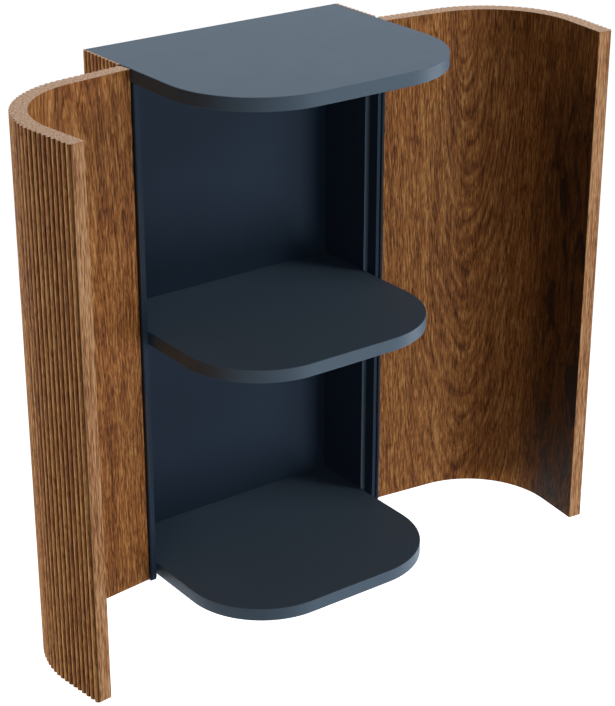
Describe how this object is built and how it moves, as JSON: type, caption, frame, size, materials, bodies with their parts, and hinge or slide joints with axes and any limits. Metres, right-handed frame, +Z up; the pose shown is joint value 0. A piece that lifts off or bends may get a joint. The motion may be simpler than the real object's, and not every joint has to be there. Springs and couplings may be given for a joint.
{
  "type": "wall cabinet",
  "caption": "Wall-hung bathroom cabinet with open shelves in slate-blue lacquer and curved, reeded oak doors that wrap round its front corners.",
  "frame": {"origin": "on the wall plane, midway between the two wall screw holes", "axes": "+X to the right seen from the front, the front faces -Y, +Z is up, +Y points into the wall"},
  "size_m": [0.8428, 0.33, 0.732],
  "materials": {
    "slate_blue_lacquer": "satin",
    "dark_oak": "satin",
    "black_hinge_steel": "satin"
  },
  "bodies": {
    "carcass": {"top_board": "slate_blue_lacquer", "middle_shelf": "slate_blue_lacquer", "bottom_board": "slate_blue_lacquer", "back_panel": "slate_blue_lacquer", "hanging_rail": "slate_blue_lacquer", "left_side_panel": "slate_blue_lacquer", "right_side_panel": "slate_blue_lacquer", "left_side_cladding": "dark_oak", "right_side_cladding": "dark_oak", "left_hinge_post": "slate_blue_lacquer", "right_hinge_post": "slate_blue_lacquer", "left_frame_leaf": "slate_blue_lacquer", "right_frame_leaf": "slate_blue_lacquer", "left_hinge_pin": "black_hinge_steel", "right_hinge_pin": "black_hinge_steel"},
    "left_door": {"left_door": "dark_oak", "left_door_leaf": "black_hinge_steel"},
    "right_door": {"right_door": "dark_oak", "right_door_leaf": "black_hinge_steel"}
  },
  "joints": [
    {"name": "left_door_hinge", "type": "hinge", "parent": "carcass", "child": "left_door", "pos_m": [-0.1978, -0.1141, 0], "axis": [0, 0, 1], "range_deg": [-3.8, 83.2]},
    {"name": "right_door_hinge", "type": "hinge", "parent": "carcass", "child": "right_door", "pos_m": [0.1978, -0.1141, 0], "axis": [0, 0, -1], "range_deg": [-3.8, 83.2]}
  ]
}
